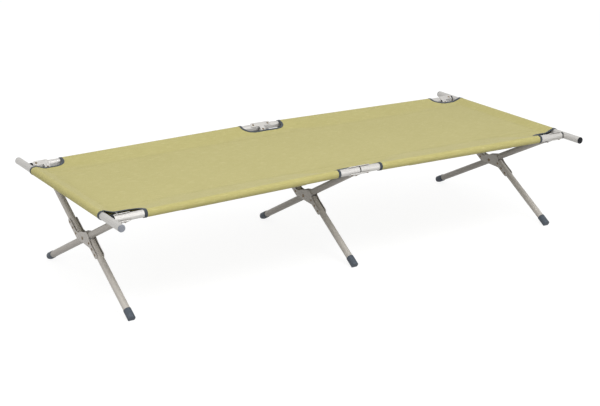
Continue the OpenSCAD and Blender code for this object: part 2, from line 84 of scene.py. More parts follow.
# Cut-outs of the cloth
MIDDLE_HALF = 0.082             # half the length of the cut-out at the middle hinge
CORNER_X = 0.822                # where the side sleeve stops and a corner's cut-out begins
EDGE_Y = RAIL_Y - 0.050         # inner edge of every cut-out
CORNER_R = 0.038                # radius of the cut-outs' inner corners

# Cloth, sleeves and seams
CLOTH = 0.0010                  # thickness of the canvas
WRAP_R = TUBE_R + 0.0010        # radius of the canvas, at the middle of its thickness, round a tube
SIDE_SEAM = 0.105               # from the rail's axis to its seam
HEM_SEAM = 0.040                # from the bar's axis to its seam
TURNING = 0.012                 # cloth left past a seam
SIDE_FLAP_END = 0.884           # where the lower layer of the side sleeve ends
LAYER_GAP = 0.0012              # between the middles of the two layers at a side seam
LAYER_SPREAD = 0.0013           # what the gap gains nearer the tube
SPREAD_FROM = 0.098             # distance from the tube's axis where it starts to gain
SPREAD_RUN = 0.020              # length over which it does

# From a rail's axis to where the two layers meet beside a cut-out; the cloth isn't drawn evenly
OPEN_SEAM_FAR = 0.072
OPEN_SEAM_NEAR_LEFT = 0.068
OPEN_SEAM_NEAR_MIDDLE = 0.046
OPEN_SEAM_NEAR_RIGHT = 0.050
OPEN_RUN = 0.15                 # length over which the layers part towards a cut-out
OPEN_BY_MIDDLE = 0.008          # they are fully parted this far from the middle cut-out
OPEN_BY_CORNER = 0.012          # and this far from a corner's

# Form of the stretched deck
CAMBER = 0.013                  # rise of the rails at the middle hinge above the end bars
DIP = 0.0012                    # how far the deck's middle line hangs
RISE_INSIDE = 0.26              # share of the rails' rise that the deck's middle line follows
RISE_OUTWARD = 0.30             # what that share gains out to the cut-outs' inner edges
HOLLOW = 0.0011                 # depth of broad shallow hollows
DIMPLE = 0.00035                # depth of finer ones
CREASE = 0.0008                 # height of the creases that fan out from the corners
CREASE_RATE = 17                # how closely they follow each other: radians of wave per radian of turn
CREASE_START = 0.05             # length over which they rise from a corner
CREASE_REACH = 0.13             # length over which they die away
SCALLOP = 0.00035               # height of the waves along the side seams
SCALLOP_RATE = 61               # how closely they follow each other: radians of wave per metre
SCALLOP_WIDTH = 0.03            # half the width of the band that they lie in
TUBE_CLEAR = 0.004              # all this unevenness stops that far short of a tube's axis
TUBE_FADE = 0.03                # and fades out over this length before it

# Binding tape
TAPE = 0.0095                   # width on each face of the cloth
TAPE_STEP = 0.0025              # length of its facets, short enough to stay off the tubes it goes round
TAPE_GAP = 0.0001               # between the tape's inner face and the cloth, or a tube
TAPE_FACE = 0.0008              # height of its outer face off the cloth
TAPE_FOLD = 0.0006              # its fold begins this far in from the cloth's edge
TAPE_NOSE = 0.00144             # and reaches this far outwards from there

# Stitches
PITCH = 0.0044                  # from stitch to stitch in the seams
TAPE_PITCH = 0.004              # and in the tape
STITCH = 0.0032                 # length of a stitch
THREAD_D = 0.0007               # thickness of the thread
SEAM_ROWS = (0.001, 0.008)      # rows of stitches, inward of a seam's line
SIDE_ROW_HALF = 0.88            # half the length of a row along a side seam
HEM_ROW_HALF = 0.262            # half the length of a row along a hem
TAPE_ROW_IN = 0.0022            # from the tape's inner edge to its row
TAPE_ROW_UP = 0.0009            # height of that row off the cloth's face

# Facets of the cloth
DECK_GRID = 0.0095              # spacing of the grid on the open deck
WRAP_GRID = 0.0029              # and round the tubes
BEFORE_SEAM = 0.010             # the deck's spacing ends this far inward of a seam
BEFORE_WRAP = 0.006             # and the wrap's starts this far before a tube's axis
EDGE_STEP = 0.006               # longest facet along the cloth's outline
EDGE_CLEAR = 0.0026             # least distance from a point of the grid to the outline's points
EDGE_MARGIN = 0.01              # points this close to a cut-out, or inside it, are tested against its edge

QUARTER = math.pi / 2           # a quarter turn
SHORTEST = 1e-6                 # a side of an outline that is shorter is dropped


def smooth(t):
    t = min(max(t, 0.0), 1.0)
    return t * t * (3 - 2 * t)


def soft_lift(a, rounding=0.0016):
    """The larger of a and zero, with the corner between them rounded."""
    return (a + math.sqrt(a * a + rounding * rounding)) / 2


# ---------------------------------------------------------------- the shape of the stretched cloth
# A place on the flat cloth is (u, v): u along the cot and v across it, both from its middle.
# Past a rail or a bar the cloth wraps round the tube and comes back underneath to its seam.

def rail_z(x):
    return BAR_Z + CAMBER * (1 - abs(x) / BAR_X)


def deck_z(x, y):
    """Height of the plane in which the upper and lower layers meet."""
    outward = (y / EDGE_Y) ** 2
    followed = min(1.0, RISE_INSIDE + RISE_OUTWARD * outward)
    return BAR_Z - DIP * (1 - outward) + (rail_z(x) - BAR_Z) * followed


def side_seam(x, near):
    """Distance from the rail's axis to where the sleeve's layers meet: nearer beside a cut-out."""
    from_middle = (abs(x) - MIDDLE_HALF - OPEN_BY_MIDDLE) / OPEN_RUN
    from_corner = (CORNER_X - OPEN_BY_CORNER - abs(x)) / OPEN_RUN
    least = OPEN_SEAM_FAR
    if near:
        least = OPEN_SEAM_NEAR_LEFT if x < 0 else OPEN_SEAM_NEAR_RIGHT
        if abs(x) < (MIDDLE_HALF + CORNER_X) / 2:
            least = OPEN_SEAM_NEAR_MIDDLE
    return least + (SIDE_SEAM - least) * smooth(min(from_middle, from_corner))


def sleeve_sizes(axis, axis_z, seam, seam_z):
    """Where a sleeve starts, its tilt and opening angle, and the lengths of its straight part and its arc."""
    reach = math.hypot(seam, axis_z - seam_z)
    tilt = math.atan2(axis_z - seam_z, seam)
    open_angle = math.asin(WRAP_R / reach)
    straight = math.sqrt(reach ** 2 - WRAP_R ** 2)
    return axis - seam, tilt, open_angle, straight, WRAP_R * (math.pi + 2 * open_angle)


def across_tube(run, axis, axis_z, seam, level):
    """Place across a tube of the cloth at a run from the middle: (distance, height, layer)."""
    start, tilt, open_angle, straight, arc = sleeve_sizes(axis, axis_z, seam, level(axis - seam))
    if run <= start:
        line = level(start) + (run - start) * math.tan(tilt + open_angle)
        base = level(run)
        return run, base + soft_lift(line - base), "deck"
    if run <= start + straight:
        step = (run - start) * math.cos(tilt + open_angle)
        line = level(start) + step * math.tan(tilt + open_angle)
        base = level(min(start + step, axis - WRAP_R))
        return start + step, base + soft_lift(line - base), "deck"
    if run <= start + straight + arc:
        angle = QUARTER + tilt + open_angle - (run - start - straight) / WRAP_R
        return axis + WRAP_R * math.cos(angle), axis_z + WRAP_R * math.sin(angle), "wrap"
    back = run - start - straight - arc
    step = (straight - back) * math.cos(tilt - open_angle)
    place = start + step
    gap = LAYER_GAP + LAYER_SPREAD * smooth((axis - place - SPREAD_FROM) / -SPREAD_RUN)
    line = level(start) + step * math.tan(tilt - open_angle)
    base = level(min(place, axis - WRAP_R))
    return place, base - gap - soft_lift(base - line), "under"


def ripple(u, v):
    """Unevenness of tensioned canvas: shallow hollows, creases from the corners, waves along the seams."""
    # Numbers without a name here only stretch or shift a pattern, so that no two corners are alike
    broad = noise.noise(Vector((u * 2.3, v * 3.1, 4.7)))
    fine = noise.noise(Vector((u * 7, v * 9, 1.3)))
    hollows = broad * HOLLOW + fine * DIMPLE
    du, dv = BAR_X - abs(u), EDGE_Y - abs(v)
    away = math.hypot(du, dv + 0.02)
    turn = math.atan2(dv, du) * CREASE_RATE + math.copysign(1.3, u) + math.copysign(0.7, v)
    fan = math.sin(turn) * math.exp(-away / CREASE_REACH)
    band = math.exp(-((abs(v) - RAIL_Y + SIDE_SEAM) / SCALLOP_WIDTH) ** 2)
    scallop = math.sin(u * SCALLOP_RATE + math.copysign(2.0, v)) * band
    off_rail = smooth((RAIL_Y - abs(v) - TUBE_CLEAR) / TUBE_FADE)
    off_bar = smooth((BAR_X - abs(u) - TUBE_CLEAR) / TUBE_FADE)
    return (hollows + fan * CREASE * smooth(away / CREASE_START) + scallop * SCALLOP) * (off_rail * off_bar)


def outermost(axis, axis_z, seam, seam_z):
    """The run from the middle to the outermost line of the wrap round a tube."""
    start, _, _, straight, arc = sleeve_sizes(axis, axis_z, seam, seam_z)
    return start + straight + arc / 2


def side_middle(x, near):
    seam = side_seam(x, near)
    return outermost(RAIL_Y, rail_z(x), seam, deck_z(x, RAIL_Y - seam))


# Runs on the flat cloth from its middle: MIDDLE to the outermost line of a wrap, FLAP to the cloth's end
MIDDLE_V = side_middle(0, False)
MIDDLE_U = outermost(BAR_X, BAR_Z, HEM_SEAM, deck_z(BAR_X - HEM_SEAM, 0))
FLAP_V = 2 * MIDDLE_V - (RAIL_Y - SIDE_SEAM - TURNING)
FLAP_U = 2 * MIDDLE_U - (BAR_X - HEM_SEAM - TURNING)
UNDER_EDGE_V = 2 * MIDDLE_V - EDGE_Y    # edge of every cut-out in the lower layer


def cloth_place(u, v):
    """Where a place on the flat cloth comes to lie on the cot."""
    a, b, near = abs(u), abs(v), v < 0
    b += side_middle(u, near) - MIDDLE_V
    y, side_height, side = across_tube(b, RAIL_Y, rail_z(a), side_seam(u, near), lambda c: deck_z(a, c))
    if side != "deck":
        return Vector((u, math.copysign(y, v), side_height))
    x, end_height, end = across_tube(a, BAR_X, BAR_Z, HEM_SEAM, lambda c: deck_z(c, b))
    if end != "deck":
        return Vector((math.copysign(x, u), v, end_height))
    z = side_height + end_height - deck_z(a, y)
    return Vector((math.copysign(x, u), math.copysign(y, v), z + ripple(u, v)))


def cloth_normal(u, v, step=0.0004):
    along = cloth_place(u + step, v) - cloth_place(u - step, v)
    over = cloth_place(u, v + step) - cloth_place(u, v - step)
    return along.cross(over).normalized()


def off_cloth(u, v, height):
    """A point at a height off the middle of the cloth's thickness, at a place on the flat cloth."""
    return cloth_place(u, v) + cloth_normal(u, v) * height


# ---------------------------------------------------------------- the cloth's edges, on the flat cloth

def arc_points(cx, cy, r, start, end, step=0.004):
    count = max(4, round(abs(end - start) * r / step))
    angles = [start + (end - start) * i / count for i in range(count + 1)]
    return [(cx + r * math.cos(a), cy + r * math.sin(a)) for a in angles]


def filled(points, step=0.005, closed=False):
    """The polyline with points added so that none are further apart than step."""
    out = []
    for (x1, y1), (x2, y2) in zip(points, points[1:] + (points[:1] if closed else [])):
        length = math.hypot(x2 - x1, y2 - y1)
        if length < SHORTEST:
            continue
        count = max(1, math.ceil(length / step))
        out += [(x1 + (x2 - x1) * i / count, y1 + (y2 - y1) * i / count) for i in range(count)]
    return out if closed else out + [points[-1]]


def mirrored(points, su, sv):
    return [(su * u, sv * v) for u, v in points]


def corner_edge():
    """Edge of the cloth at the right far corner, from the lower side flap round to the lower hem flap."""
    r = CORNER_R
    return filled(
        [(SIDE_FLAP_END, UNDER_EDGE_V)]
        + arc_points(CORNER_X + r, UNDER_EDGE_V - r, r, QUARTER, 2 * QUARTER)
        + arc_points(CORNER_X + r, EDGE_Y + r, r, 2 * QUARTER, 3 * QUARTER)
        + [(FLAP_U, EDGE_Y)])


def middle_edge():
    """Edge of the hole in the far side of the cloth at the middle hinge."""
    r = CORNER_R
    corners = (arc_points(MIDDLE_HALF - r, EDGE_Y + r, r, 3 * QUARTER, 4 * QUARTER)
               + arc_points(MIDDLE_HALF - r, UNDER_EDGE_V - r, r, 0, QUARTER)
               + arc_points(-MIDDLE_HALF + r, UNDER_EDGE_V - r, r, QUARTER, 2 * QUARTER)
               + arc_points(-MIDDLE_HALF + r, EDGE_Y + r, r, 2 * QUARTER, 3 * QUARTER))
    return filled(corners, closed=True)


def cloth_outline():
    """The cloth's outer edge: one quarter, mirrored to the other three."""
    corner = corner_edge()
    quarter = filled([(SIDE_FLAP_END, FLAP_V), corner[0]])[:-1] + corner
    back = quarter[::-1]
    loop = quarter + mirrored(back, 1, -1) + mirrored(quarter, -1, -1) + mirrored(back, -1, 1)
    return filled(loop, EDGE_STEP, closed=True)


def bound_edges():
    """The edges that have tape: (points, closed, side), where side +1 has the cloth on its left."""
    corner, hole = corner_edge(), middle_edge()
    corners = [(mirrored(corner, su, sv), False, -su * sv) for su in (-1, 1) for sv in (-1, 1)]
    middles = [(mirrored(hole, 1, sv), True, -sv) for sv in (-1, 1)]
    return corners, middles


def inward(points, k, closed, side):
    """Direction from point k of an edge into the cloth, square to the edge."""
    count = len(points)
    ahead = points[(k + 1) % count] if closed or k + 1 < count else points[k]
    behind = points[k - 1] if closed or k > 0 else points[k]
    du, dv = ahead[0] - behind[0], ahead[1] - behind[1]
    size = math.hypot(du, dv)
    return -dv / size * side, du / size * side


def inside(point, loop):
    x, y = point
    hit = False
    for (x1, y1), (x2, y2) in zip(loop, loop[1:] + loop[:1]):
        if (y1 > y) != (y2 > y) and x < (x2 - x1) * (y - y1) / (y2 - y1) + x1:
            hit = not hit
    return hit


# ---------------------------------------------------------------- the cloth, cut flat

def stops(*spans):
    """Places along one direction: each span is (end, spacing) and starts where the last one ends."""
    out, at = [0.0], 0.0
    for end, spacing in spans:
        count = max(1, round((end - at) / spacing))
        out += [at + (end - at) * (i + 1) / count for i in range(count)]
        at = end
    return [-s for s in reversed(out[1:])] + out


def grid_lines(axis, seam, middle, end, slope_grid, flap_grid):
    """The grid's lines in one direction: deck, slope up to the tube, wrap round it, and flap."""
    return stops((axis - seam - BEFORE_SEAM, DECK_GRID), (axis - BEFORE_WRAP, slope_grid),
                 (2 * middle - axis + BEFORE_WRAP, WRAP_GRID), (end, flap_grid))


def cloth_mesh():
    """The flat cloth as triangles, with its outline and both middle holes cut out: (points, faces)."""
    outline, hole = cloth_outline(), middle_edge()
    loops = [outline, hole, mirrored(hole, 1, -1)]
    us = grid_lines(BAR_X, HEM_SEAM, MIDDLE_U, FLAP_U, slope_grid=0.005, flap_grid=0.007)
    vs = grid_lines(RAIL_Y, SIDE_SEAM, MIDDLE_V, FLAP_V, slope_grid=0.007, flap_grid=0.008)

    # The edges' points by square cells, so that only those near a point of the grid are looked at
    cell = EDGE_STEP
    by_cell = {}
    for loop in loops:
        for x, y in loop:
            by_cell.setdefault((round(x / cell), round(y / cell)), []).append((x, y))

    def crowded(x, y):
        i, j = round(x / cell), round(y / cell)
        close = [p for di in (-1, 0, 1) for dj in (-1, 0, 1) for p in by_cell.get((i + di, j + dj), ())]
        return any((x - a) ** 2 + (y - b) ** 2 < EDGE_CLEAR ** 2 for a, b in close)

    def on_cloth(x, y):
        a, b = abs(x), abs(y)
        if b <= EDGE_Y - EDGE_MARGIN:
            return True
        # Far enough into a corner's cut-out to be off the cloth for certain
        past_flap = a > SIDE_FLAP_END + 2 * EDGE_MARGIN and b > EDGE_Y
        in_corner = a > CORNER_X + CORNER_R + 2 * EDGE_MARGIN and EDGE_Y < b < UNDER_EDGE_V
        if past_flap or in_corner:
            return False
        if a > CORNER_X - EDGE_MARGIN:
            return inside((x, y), outline)
        return a >= MIDDLE_HALF + EDGE_MARGIN or not inside((x, b), hole)

    points, edges = [], []
    for loop in loops:
        first = len(points)
        points += loop
        edges += [(first + i, first + (i + 1) % len(loop)) for i in range(len(loop))]
    points += [(x, y) for x in us[1:-1] for y in vs[1:-1] if on_cloth(x, y) and not crowded(x, y)]
    within_outline, same_place = 1, 1e-7
    cut = delaunay_2d_cdt([Vector(p) for p in points], edges, [], within_outline, same_place)
    flat, faces = cut[0], cut[2]

    def in_hole(face):
        cx = sum(flat[i].x for i in face) / 3
        cy = abs(sum(flat[i].y for i in face) / 3)
        return abs(cx) < MIDDLE_HALF and cy > EDGE_Y and inside((cx, cy), hole)

    return flat, [face for face in faces if not in_hole(face)]


# ---------------------------------------------------------------- pieces

def linked(name, data):
    """A new object with this data, in the scene."""
    thing = bpy.data.objects.new(name, data)
    bpy.context.scene.collection.objects.link(thing)
    return thing


def new_piece(name, verts, faces, uvs):
    mesh = bpy.data.meshes.new(name)
    mesh.from_pydata([tuple(v) for v in verts], [], [tuple(f) for f in faces])
    layer = mesh.uv_layers.new(name="cloth")
    for loop in mesh.loops:
        layer.data[loop.index].uv = uvs[loop.vertex_index]
    mesh.shade_smooth()
    return linked(name, mesh)


def applied(piece):
    """Turns a piece with its modifiers into a plain mesh."""
    bpy.context.view_layer.update()
    mesh = bpy.data.meshes.new_from_object(piece.evaluated_get(bpy.context.evaluated_depsgraph_get()))
    mesh.name = piece.name
    piece.modifiers.clear()
    piece.data = mesh
    return piece


def finish_with(piece, material):
    piece.data.materials.clear()
    piece.data.materials.append(material)


# ---------------------------------------------------------------- shader helpers

def joined(tree, source, target):
    tree.links.new(source, target)


def add_node(tree, kind, inputs=None, **settings):
    """A new node; an input is a plain value, or the socket that feeds it."""
    node = tree.nodes.new(kind)
    for key, value in settings.items():
        setattr(node, key, value)
    for key, value in (inputs or {}).items():
        if isinstance(value, bpy.types.NodeSocket):
            joined(tree, value, node.inputs[key])
        else:
            node.inputs[key].default_value = value
    return node


def effect(name, sockets_in, sockets_out):
    """A shader node group: its tree, its group input and its group output.

    Sockets in are (name, type, default); sockets out are names, and all put out values.
    """
    tree = bpy.data.node_groups.new(name, "ShaderNodeTree")
    for label, kind, value in sockets_in:
        socket = tree.interface.new_socket(label, in_out="INPUT", socket_type="NodeSocket" + kind)
        if value is not None:
            socket.default_value = value
    for label in sockets_out:
        tree.interface.new_socket(label, in_out="OUTPUT", socket_type="NodeSocketFloat")
    return tree, tree.nodes.new("NodeGroupInput"), tree.nodes.new("NodeGroupOutput")


def math_node(tree, operation, a, b=0.0):
    return add_node(tree, "ShaderNodeMath", {0: a, 1: b}, operation=operation).outputs[0]


def value_mix(tree, factor, a, b):
    return add_node(tree, "ShaderNodeMix", {0: factor, 2: a, 3: b}, data_type="FLOAT").outputs[0]


def colour_mix(tree, factor, a, b):
    return add_node(tree, "ShaderNodeMix", {0: factor, 6: a, 7: b}, data_type="RGBA").outputs[2]


def map_range(tree, value, from_low, from_high, to_low, to_high):
    ends = {0: value, 1: from_low, 2: from_high, 3: to_low, 4: to_high}
    return add_node(tree, "ShaderNodeMapRange", ends).outputs[0]


def tinted(tree, tone, mask, low, high, amount, colour):
    """The tone with a colour mixed in, from none where the mask is low to amount where it is high."""
    return colour_mix(tree, map_range(tree, mask, low, high, 0.0, amount), tone, colour)


def drawn_out(tree, place, scale):
    """The place, scaled along each axis: a pattern on it is drawn out along the axis of least scale."""
    return add_node(tree, "ShaderNodeMapping", {"Vector": place, "Scale": scale}).outputs[0]


def clouds(tree, place, scale, detail, roughness=0.5):
    settings = {"Vector": place, "Scale": scale, "Detail": detail, "Roughness": roughness}
    return add_node(tree, "ShaderNodeTexNoise", settings).outputs[0]


def shade(colour, factor):
    return (*[min(1, c * factor) for c in colour[:3]], 1)


# ---------------------------------------------------------------- effects that several finishes use

def drawn_tube_effect():
    """Surface of a drawn tube: fine lines along the pattern's X, cloudy tone, and a few rubbed marks."""
    tree, given, out = effect("drawn_tube", [("Place", "Vector", None)], ["Lines", "Cloud", "Rub"])
    place = given.outputs["Place"]
    lines = clouds(tree, drawn_out(tree, place, (3.0, 420.0, 420.0)), scale=1.0, detail=3.0, roughness=0.6)
    cloud = clouds(tree, place, scale=9.0, detail=4.0, roughness=0.55)
    rub = clouds(tree, drawn_out(tree, place, (26.0, 90.0, 90.0)), scale=1.0, detail=5.0, roughness=0.7)
    joined(tree, lines, out.inputs["Lines"])
    joined(tree, cloud, out.inputs["Cloud"])
    joined(tree, map_range(tree, rub, 0.62, 0.74, 0.0, 1.0), out.inputs["Rub"])
    return tree


def speckle_effect():
    """Fine mottling of a moulded, cast or plated surface, at two scales."""
    sockets = [("Place", "Vector", None), ("Scale", "Float", 900.0)]
    tree, given, out = effect("speckle", sockets, ["Fine", "Broad"])
    place = given.outputs["Place"]
    fine = clouds(tree, place, given.outputs["Scale"], detail=2.0)
    broad = clouds(tree, place, scale=70.0, detail=4.0, roughness=0.6)
    joined(tree, fine, out.inputs["Fine"])
    joined(tree, broad, out.inputs["Broad"])
    return tree


def weave_effect():
    """Plain weave on a cloth's flat coordinates: thread height and tone, slubs, faded patches, mottling."""
    sockets = [("Flat", "Vector", None), ("Threads per metre", "Float", 700.0)]
    tree, given, out = effect("weave", sockets, ["Height", "Tone", "Slub", "Patch", "Mottle"])
    flat = given.outputs["Flat"]
    counted = {0: flat, 3: given.outputs["Threads per metre"]}
    threads = add_node(tree, "ShaderNodeVectorMath", counted, operation="SCALE").outputs[0]
    part = add_node(tree, "ShaderNodeSeparateXYZ", {0: threads})
    wave_x, wave_y = [math_node(tree, "SINE", math_node(tree, "MULTIPLY", part.outputs[k], math.pi))
                      for k in (0, 1)]
    over_under = math_node(tree, "GREATER_THAN", math_node(tree, "MULTIPLY", wave_x, wave_y), 0.0)
    rise_x, rise_y = math_node(tree, "ABSOLUTE", wave_x), math_node(tree, "ABSOLUTE", wave_y)
    height = value_mix(tree, over_under, rise_x, rise_y)
    warp = clouds(tree, drawn_out(tree, flat, (60.0, 900.0, 1.0)), scale=1.0, detail=1.0)
    weft = clouds(tree, drawn_out(tree, flat, (900.0, 60.0, 1.0)), scale=1.0, detail=1.0)
    tone = math_node(tree, "MULTIPLY", math_node(tree, "ADD", warp, weft), 0.5)
    slub = clouds(tree, drawn_out(tree, flat, (25.0, 260.0, 1.0)), scale=1.0, detail=2.0)
    patch = clouds(tree, flat, scale=5.0, detail=3.0)
    mottle = clouds(tree, flat, scale=130.0, detail=3.0, roughness=0.7)
    for label, value in (("Height", height), ("Tone", tone), ("Slub", slub), ("Patch", patch),
                         ("Mottle", mottle)):
        joined(tree, value, out.inputs[label])
    return tree


DRAWN = drawn_tube_effect()
SPECKLE = speckle_effect()
WEAVE = weave_effect()


# ---------------------------------------------------------------- materials

def new_material(name, **constants):
    """A material with its tree and its Principled shader; the constants go straight on its sockets."""
    material = bpy.data.materials.new(name)
    material.use_nodes = True
    shader = material.node_tree.nodes["Principled BSDF"]
    for key, value in constants.items():
        shader.inputs[key.replace("_", " ")].default_value = value
    return material, material.node_tree, shader


def bumped(tree, shader, height, strength, distance):
    bump = add_node(tree, "ShaderNodeBump", {"Height": height, "Strength": strength, "Distance": distance})
    joined(tree, bump.outputs[0], shader.inputs["Normal"])


def object_place(tree):
    return add_node(tree, "ShaderNodeTexCoord").outputs["Object"]


def cloth_flat(tree):
    return add_node(tree, "ShaderNodeUVMap", uv_map="cloth").outputs[0]


def seen_or_mirrored(tree):
    """One for what the camera sees directly, in a mirror or through glass, otherwise zero."""
    path = add_node(tree, "ShaderNodeLightPath")
    indirect = math_node(tree, "MAXIMUM", path.outputs["Is Glossy Ray"], path.outputs["Is Transmission Ray"])
    return math_node(tree, "MAXIMUM", path.outputs["Is Camera Ray"], indirect)


def tube_metal(name, light, dark, turn, roughness, metallic):
    """Drawn and anodised tube; turn is the turn given to the pattern, whose fine lines run along its X."""
    material, tree, shader = new_material(name, Metallic=metallic)
    place = add_node(tree, "ShaderNodeMapping", {"Vector": object_place(tree), "Rotation": turn}).outputs[0]
    drawn = add_node(tree, "ShaderNodeGroup", node_tree=DRAWN)
    joined(tree, place, drawn.inputs["Place"])
    lines, cloud, rub = [drawn.outputs[label] for label in ("Lines", "Cloud", "Rub")]
    tone = colour_mix(tree, cloud, dark, light)
    tone = tinted(tree, tone, lines, low=0.3, high=0.7, amount=0.16, colour=shade(dark, 0.55))
    tone = colour_mix(tree, math_node(tree, "MULTIPLY", rub, 0.22), tone, shade(light, 1.35))
    joined(tree, tone, shader.inputs["Base Color"])
    rough = map_range(tree, lines, 0.2, 0.8, roughness - 0.06, roughness + 0.09)
    joined(tree, rough, shader.inputs["Roughness"])
    bumped(tree, shader, lines, strength=0.25, distance=0.00005)
    return material


def mottled(name, light, dark, roughness, metallic=0.0, scale=900.0, **constants):
    """Plated steel, rubber, moulded plastic or thread."""
    material, tree, shader = new_material(name, Metallic=metallic, **constants)
    speckle = add_node(tree, "ShaderNodeGroup", {"Scale": scale}, node_tree=SPECKLE)
    joined(tree, object_place(tree), speckle.inputs["Place"])
    fine, broad = speckle.outputs["Fine"], speckle.outputs["Broad"]
    tone = tinted(tree, dark, broad, low=0.3, high=0.7, amount=1.0, colour=light)
    tone = tinted(tree, tone, fine, low=0.55, high=0.8, amount=0.35, colour=shade(dark, 0.6))
    joined(tree, tone, shader.inputs["Base Color"])
    rough = map_range(tree, broad, 0.2, 0.8, roughness - 0.08, roughness + 0.08)
    joined(tree, rough, shader.inputs["Roughness"])
    bumped(tree, shader, fine, strength=0.3, distance=0.00008)
    return material


def woven(name, threads, **constants):
    """Start of a woven finish: its material, tree, shader, flat coordinates and weave."""
    material, tree, shader = new_material(name, **constants)
    flat = cloth_flat(tree)
    weave = add_node(tree, "ShaderNodeGroup", {"Threads per metre": threads}, node_tree=WEAVE)
    joined(tree, flat, weave.inputs["Flat"])
    return material, tree, shader, flat, weave.outputs


def canvas():
    """Olive canvas: faded patches, uneven threads, pale slubs, mottling, and shade between the threads."""
    material, tree, shader, _, weave = woven("olive_canvas", threads=620.0, Roughness=0.86,
                                             Sheen_Weight=0.12, Sheen_Roughness=0.45)
    tone = (0.461, 0.418, 0.163, 1)
    for label, low, high, amount, colour in (("Patch", 0.3, 0.7, 1.0, (0.499, 0.456, 0.189, 1)),
                                             ("Tone", 0.3, 0.7, 0.85, (0.376, 0.331, 0.104, 1)),
                                             ("Slub", 0.52, 0.76, 0.55, (0.640, 0.600, 0.300, 1)),
                                             ("Mottle", 0.38, 0.66, 0.75, (0.428, 0.388, 0.140, 1))):
        tone = tinted(tree, tone, weave[label], low, high, amount, colour)
    between_threads = map_range(tree, weave["Height"], 0.0, 0.7, 0.30, 0.0)
    tone = colour_mix(tree, between_threads, tone, (0.300, 0.262, 0.080, 1))
    # Light that the cloth throws on the legs is greyer than the cloth itself
    path = add_node(tree, "ShaderNodeLightPath")
    thrown = math_node(tree, "MAXIMUM", path.outputs["Is Diffuse Ray"], path.outputs["Is Glossy Ray"])
    greyer = (0.42, 0.392, 0.25, 1)
    tone = colour_mix(tree, thrown, tone, greyer)
    joined(tree, tone, shader.inputs["Base Color"])
    bumped(tree, shader, weave["Height"], strength=0.35, distance=0.00022)
    return material


def webbing(rib=0.0011):
    """Ribbed binding tape: its ribs run across it."""
    material, tree, shader, flat, weave = woven("navy_tape", threads=1500.0, Roughness=0.72,
                                                Sheen_Weight=0.18, Sheen_Roughness=0.4)
    along = add_node(tree, "ShaderNodeSeparateXYZ", {0: flat}).outputs[0]
    ribs = math_node(tree, "SINE", math_node(tree, "MULTIPLY", along, 2 * math.pi / rib))
    valley, ridge, faded = (0.024, 0.032, 0.041, 1), (0.042, 0.054, 0.066, 1), (0.062, 0.076, 0.090, 1)
    tone = tinted(tree, valley, ribs, low=-1.0, high=1.0, amount=0.5, colour=ridge)
    tone = tinted(tree, tone, weave["Patch"], low=0.4, high=0.75, amount=0.35, colour=faded)
    joined(tree, tone, shader.inputs["Base Color"])
    bumped(tree, shader, math_node(tree, "ADD", ribs, weave["Height"]), strength=0.4, distance=0.00015)
    return material


LEG_SLOPE = math.atan2(BAR_Z - PIVOT_Z, RAIL_Y)
RAIL_METAL = tube_metal("rail_aluminium", (0.60, 0.585, 0.562, 1), (0.54, 0.527, 0.505, 1),
                        turn=(0, 0, 0), roughness=0.50, metallic=0.55)
BAR_METAL = tube_metal("bar_aluminium", (0.58, 0.566, 0.542, 1), (0.50, 0.487, 0.465, 1),
                       turn=(0, 0, QUARTER), roughness=0.46, metallic=0.55)
# The straight and split legs are one tube metal. The split legs' copy is painted lighter: painted light
# against the shade they sit in under the canvas and between their plates.
STRAIGHT_METAL = tube_metal("straight_leg_metal", (0.45, 0.421, 0.382, 1), (0.37, 0.346, 0.313, 1),
                            turn=(LEG_SLOPE, 0, 0), roughness=0.5, metallic=0.12)
SPLIT_LEG_METAL_PAINTED_LIGHTER = tube_metal("split_leg_metal_painted_lighter", (0.54, 0.506, 0.462, 1), (0.45, 0.421, 0.382, 1),
                         turn=(-LEG_SLOPE, 0, 0), roughness=0.5, metallic=0.12)
PLATE_METAL = mottled("plated_steel", (0.475, 0.447, 0.412, 1), (0.395, 0.371, 0.341, 1),
                      roughness=0.5, metallic=0.3, scale=500.0)
BRACKET_METAL = mottled("bracket_steel", (0.62, 0.605, 0.58, 1), (0.52, 0.505, 0.482, 1),
                        roughness=0.45, metallic=0.55, scale=500.0)
RIVET_METAL = mottled("bronze_rivet", (0.20, 0.145, 0.088, 1), (0.12, 0.088, 0.055, 1),
                      roughness=0.38, metallic=0.8, scale=700.0)
RUBBER = mottled("slate_rubber", (0.075, 0.092, 0.115, 1), (0.050, 0.062, 0.080, 1),
                 roughness=0.62, scale=1400.0)
# The same plastic as the dark plugs, painted grey: painted light for the light that the left bar's near plug
# catches.
LIT_PLUG_PLASTIC = mottled("plug_plastic_painted_lit", (0.26, 0.275, 0.31, 1), (0.20, 0.212, 0.24, 1),
                       roughness=0.45, scale=1100.0)
DARK_PLASTIC = mottled("dark_plastic", (0.014, 0.015, 0.018, 1), (0.008, 0.009, 0.011, 1),
                       roughness=0.6, scale=1100.0, Specular_IOR_Level=0.15)
THREAD = mottled("sewing_thread", (0.36, 0.33, 0.13, 1), (0.27, 0.245, 0.09, 1),
                 roughness=0.7, scale=2500.0)
DARK_THREAD = mottled("dark_thread", (0.045, 0.055, 0.07, 1), (0.03, 0.038, 0.05, 1),
                      roughness=0.7, scale=2500.0)
CANVAS = canvas()
WEBBING = webbing()


# ---------------------------------------------------------------- the cover and its tape

def make_cover():
    """The cover, and the area of its flat cut."""
    flat, faces = cloth_mesh()
    uvs = [(p.x, p.y) for p in flat]
    cover = new_piece("canvas_cover", [cloth_place(u, v) for u, v in uvs], faces, uvs)
    finish_with(cover, CANVAS)
    cut_area = sum((flat[f[1]] - flat[f[0]]).cross(flat[f[2]] - flat[f[0]]) for f in faces) / 2
    thick = cover.modifiers.new("thickness", "SOLIDIFY")
    thick.thickness = CLOTH
    thick.offset = 0.0
    thick.use_even_offset = False
    return applied(cover), abs(cut_area)


